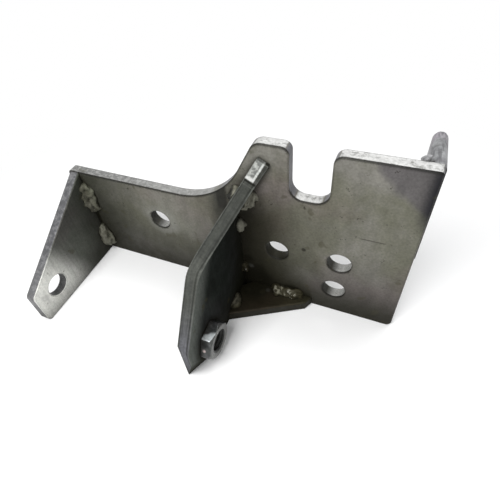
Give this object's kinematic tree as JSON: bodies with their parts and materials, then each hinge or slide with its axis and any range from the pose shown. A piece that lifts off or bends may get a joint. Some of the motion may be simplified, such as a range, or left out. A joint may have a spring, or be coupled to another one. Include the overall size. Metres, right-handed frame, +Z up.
{
  "type": "welded sheet bracket",
  "caption": "Welded sheet bracket: notched back plate, end ear and folded rib with a weld nut on one bolt line, corner gusset and rear lug.",
  "frame": {"origin": "middle of the bracket's footprint, on the plane of the back plate's bottom edge", "axes": "+X along the back plate towards the lug's end, +Y out of the back plate's rear face, +Z up"},
  "size_m": [0.1248, 0.0722, 0.0666],
  "materials": {
    "plate_steel": "zinc coated, semi-matt",
    "nut_steel": "bright zinc, smooth",
    "weld_metal": "rough, ribbed"
  },
  "bodies": {
    "root": {"back_plate": "plate_steel", "end_ear": "plate_steel", "folded_rib": "plate_steel", "corner_gusset": "plate_steel", "rear_lug": "plate_steel", "weld_nut": "nut_steel", "ear_weld_upper": "weld_metal", "ear_weld_lower": "weld_metal", "rib_weld_upper": "weld_metal", "rib_weld_middle": "weld_metal", "rib_weld_left": "weld_metal", "rib_weld_low": "weld_metal", "gusset_weld_plate": "weld_metal", "gusset_weld_rib": "weld_metal", "lug_weld": "weld_metal"}
  },
  "joints": []
}
